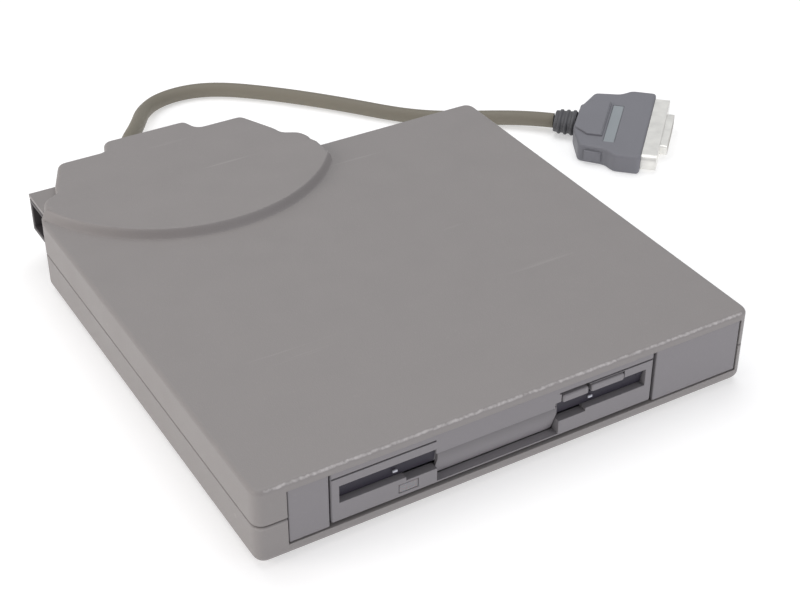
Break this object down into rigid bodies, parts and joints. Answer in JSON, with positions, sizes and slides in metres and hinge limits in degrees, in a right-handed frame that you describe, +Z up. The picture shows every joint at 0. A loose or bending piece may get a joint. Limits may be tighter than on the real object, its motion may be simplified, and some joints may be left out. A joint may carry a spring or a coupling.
{
  "type": "external floppy disk drive",
  "caption": "Slim desktop floppy disk drive in a two-part moulded case with a rear cable housing, a front disk slot with a dust flap and an eject button, and a short cable with a plug.",
  "frame": {"origin": "middle of the drive's footprint, the cable and plug left out, on the surface that the rubber feet stand on", "axes": "+X to the right seen from the front, +Y from the slot to the cable housing at the back, +Z up"},
  "size_m": [0.2332, 0.2395, 0.027],
  "materials": {
    "case_plastic": "fine grained moulding",
    "front_plastic": "fine grained moulding",
    "foot_rubber": "matte",
    "screw_steel": "zinc plated",
    "sheet_steel": "bright pressed sheet",
    "lens_plastic": "smooth",
    "motor_copper": "copper, wound",
    "turned_brass": "turned",
    "hub_magnet": "dark satin",
    "board_green": "solder resist",
    "sensor_plastic": "matte",
    "white_plastic": "matte",
    "pocket_plastic": "matte",
    "cable_jacket": "soft vinyl",
    "plug_plastic": "fine grained moulding",
    "plug_steel": "plated",
    "plug_contact": "plated contacts in a plastic body"
  },
  "bodies": {
    "case": {"upper_case": "case_plastic", "lower_case": "case_plastic", "rubber_foot_1": "foot_rubber", "rubber_foot_2": "foot_rubber", "rubber_foot_3": "foot_rubber", "rubber_foot_4": "foot_rubber", "case_screw_1": "screw_steel", "case_screw_2": "screw_steel", "case_screw_3": "screw_steel", "case_screw_4": "screw_steel", "case_screw_5": "screw_steel", "drive_screw_1": "screw_steel", "drive_screw_2": "screw_steel", "drive_screw_3": "screw_steel", "drive_screw_4": "screw_steel", "left_blank_panel": "front_plastic", "right_blank_panel": "front_plastic", "drive_bezel": "front_plastic", "activity_lens": "lens_plastic", "flap_spring": "sheet_steel", "drive_chassis": "sheet_steel", "top_shield": "sheet_steel", "motor_board": "board_green", "motor_stator": "motor_copper", "spindle_bearing": "turned_brass", "stepper_motor": "sheet_steel", "guide_rod": "sheet_steel", "drive_board": "board_green", "disk_sensors": "sensor_plastic", "drive_connector": "white_plastic", "interface_board": "board_green", "board_connector": "white_plastic", "ribbon_cable": "white_plastic", "pocket_frame": "pocket_plastic", "cable_gland": "cable_jacket", "cable": "cable_jacket", "plug_relief": "cable_jacket", "plug_hood": "plug_plastic", "plug_shell": "plug_steel", "plug_insert": "plug_contact"},
    "flap": {"dust_flap": "front_plastic"},
    "slider": {"slider_plate": "sheet_steel", "eject_button": "front_plastic"},
    "carrier": {"disk_carrier": "sheet_steel"},
    "lever": {"shutter_lever": "sheet_steel"},
    "spindle": {"spindle_rotor": "sheet_steel", "spindle_hub": "hub_magnet"},
    "screw": {"lead_screw": "turned_brass"},
    "carriage": {"head_carriage": "white_plastic", "lower_head": "hub_magnet"},
    "arm": {"upper_head_arm": "white_plastic", "upper_head": "hub_magnet"}
  },
  "joints": [
    {"name": "eject_slide", "type": "slide", "parent": "case", "child": "slider", "axis": [0, -1, 0], "range_m": [0, 0.0045]},
    {"name": "carrier_drop", "type": "slide", "parent": "case", "child": "carrier", "axis": [0, 0, -1], "range_m": [0, 0.0023]},
    {"name": "shutter_swing", "type": "hinge", "parent": "carrier", "child": "lever", "pos_m": [-0.03895, 0.00715, 0.0166], "axis": [0, 0, 1], "range_deg": [0, 50], "stiffness_Nm_per_rad": 0.0004, "springref_deg": -22.92},
    {"name": "flap_swing", "type": "hinge", "parent": "case", "child": "flap", "pos_m": [-0.00595, -0.0842, 0.0172], "axis": [1, 0, 0], "range_deg": [0, 75], "stiffness_Nm_per_rad": 0.0006, "springref_deg": -22.92},
    {"name": "spindle_spin", "type": "hinge", "parent": "case", "child": "spindle", "pos_m": [-0.00595, -0.03585, 0.009], "axis": [0, 0, 1], "continuous": true},
    {"name": "screw_turn", "type": "hinge", "parent": "case", "child": "screw", "pos_m": [0.00905, 0.02, 0.0118], "axis": [0, -1, 0], "range_deg": [0, 1872]},
    {"name": "head_slide", "type": "slide", "parent": "case", "child": "carriage", "axis": [0, -1, 0], "range_m": [0, 0.0156]},
    {"name": "arm_lift", "type": "hinge", "parent": "carriage", "child": "arm", "pos_m": [-0.00595, 0.03015, 0.0156], "axis": [1, 0, 0], "range_deg": [0, 10.35]}
  ],
  "couplings": [
    {"joint": "carrier_drop", "follows": "eject_slide", "ratio": 0.5111},
    {"joint": "arm_lift", "follows": "eject_slide", "rad_per_m": 40},
    {"joint": "screw_turn", "follows": "head_slide", "rad_per_m": 2094.4}
  ]
}
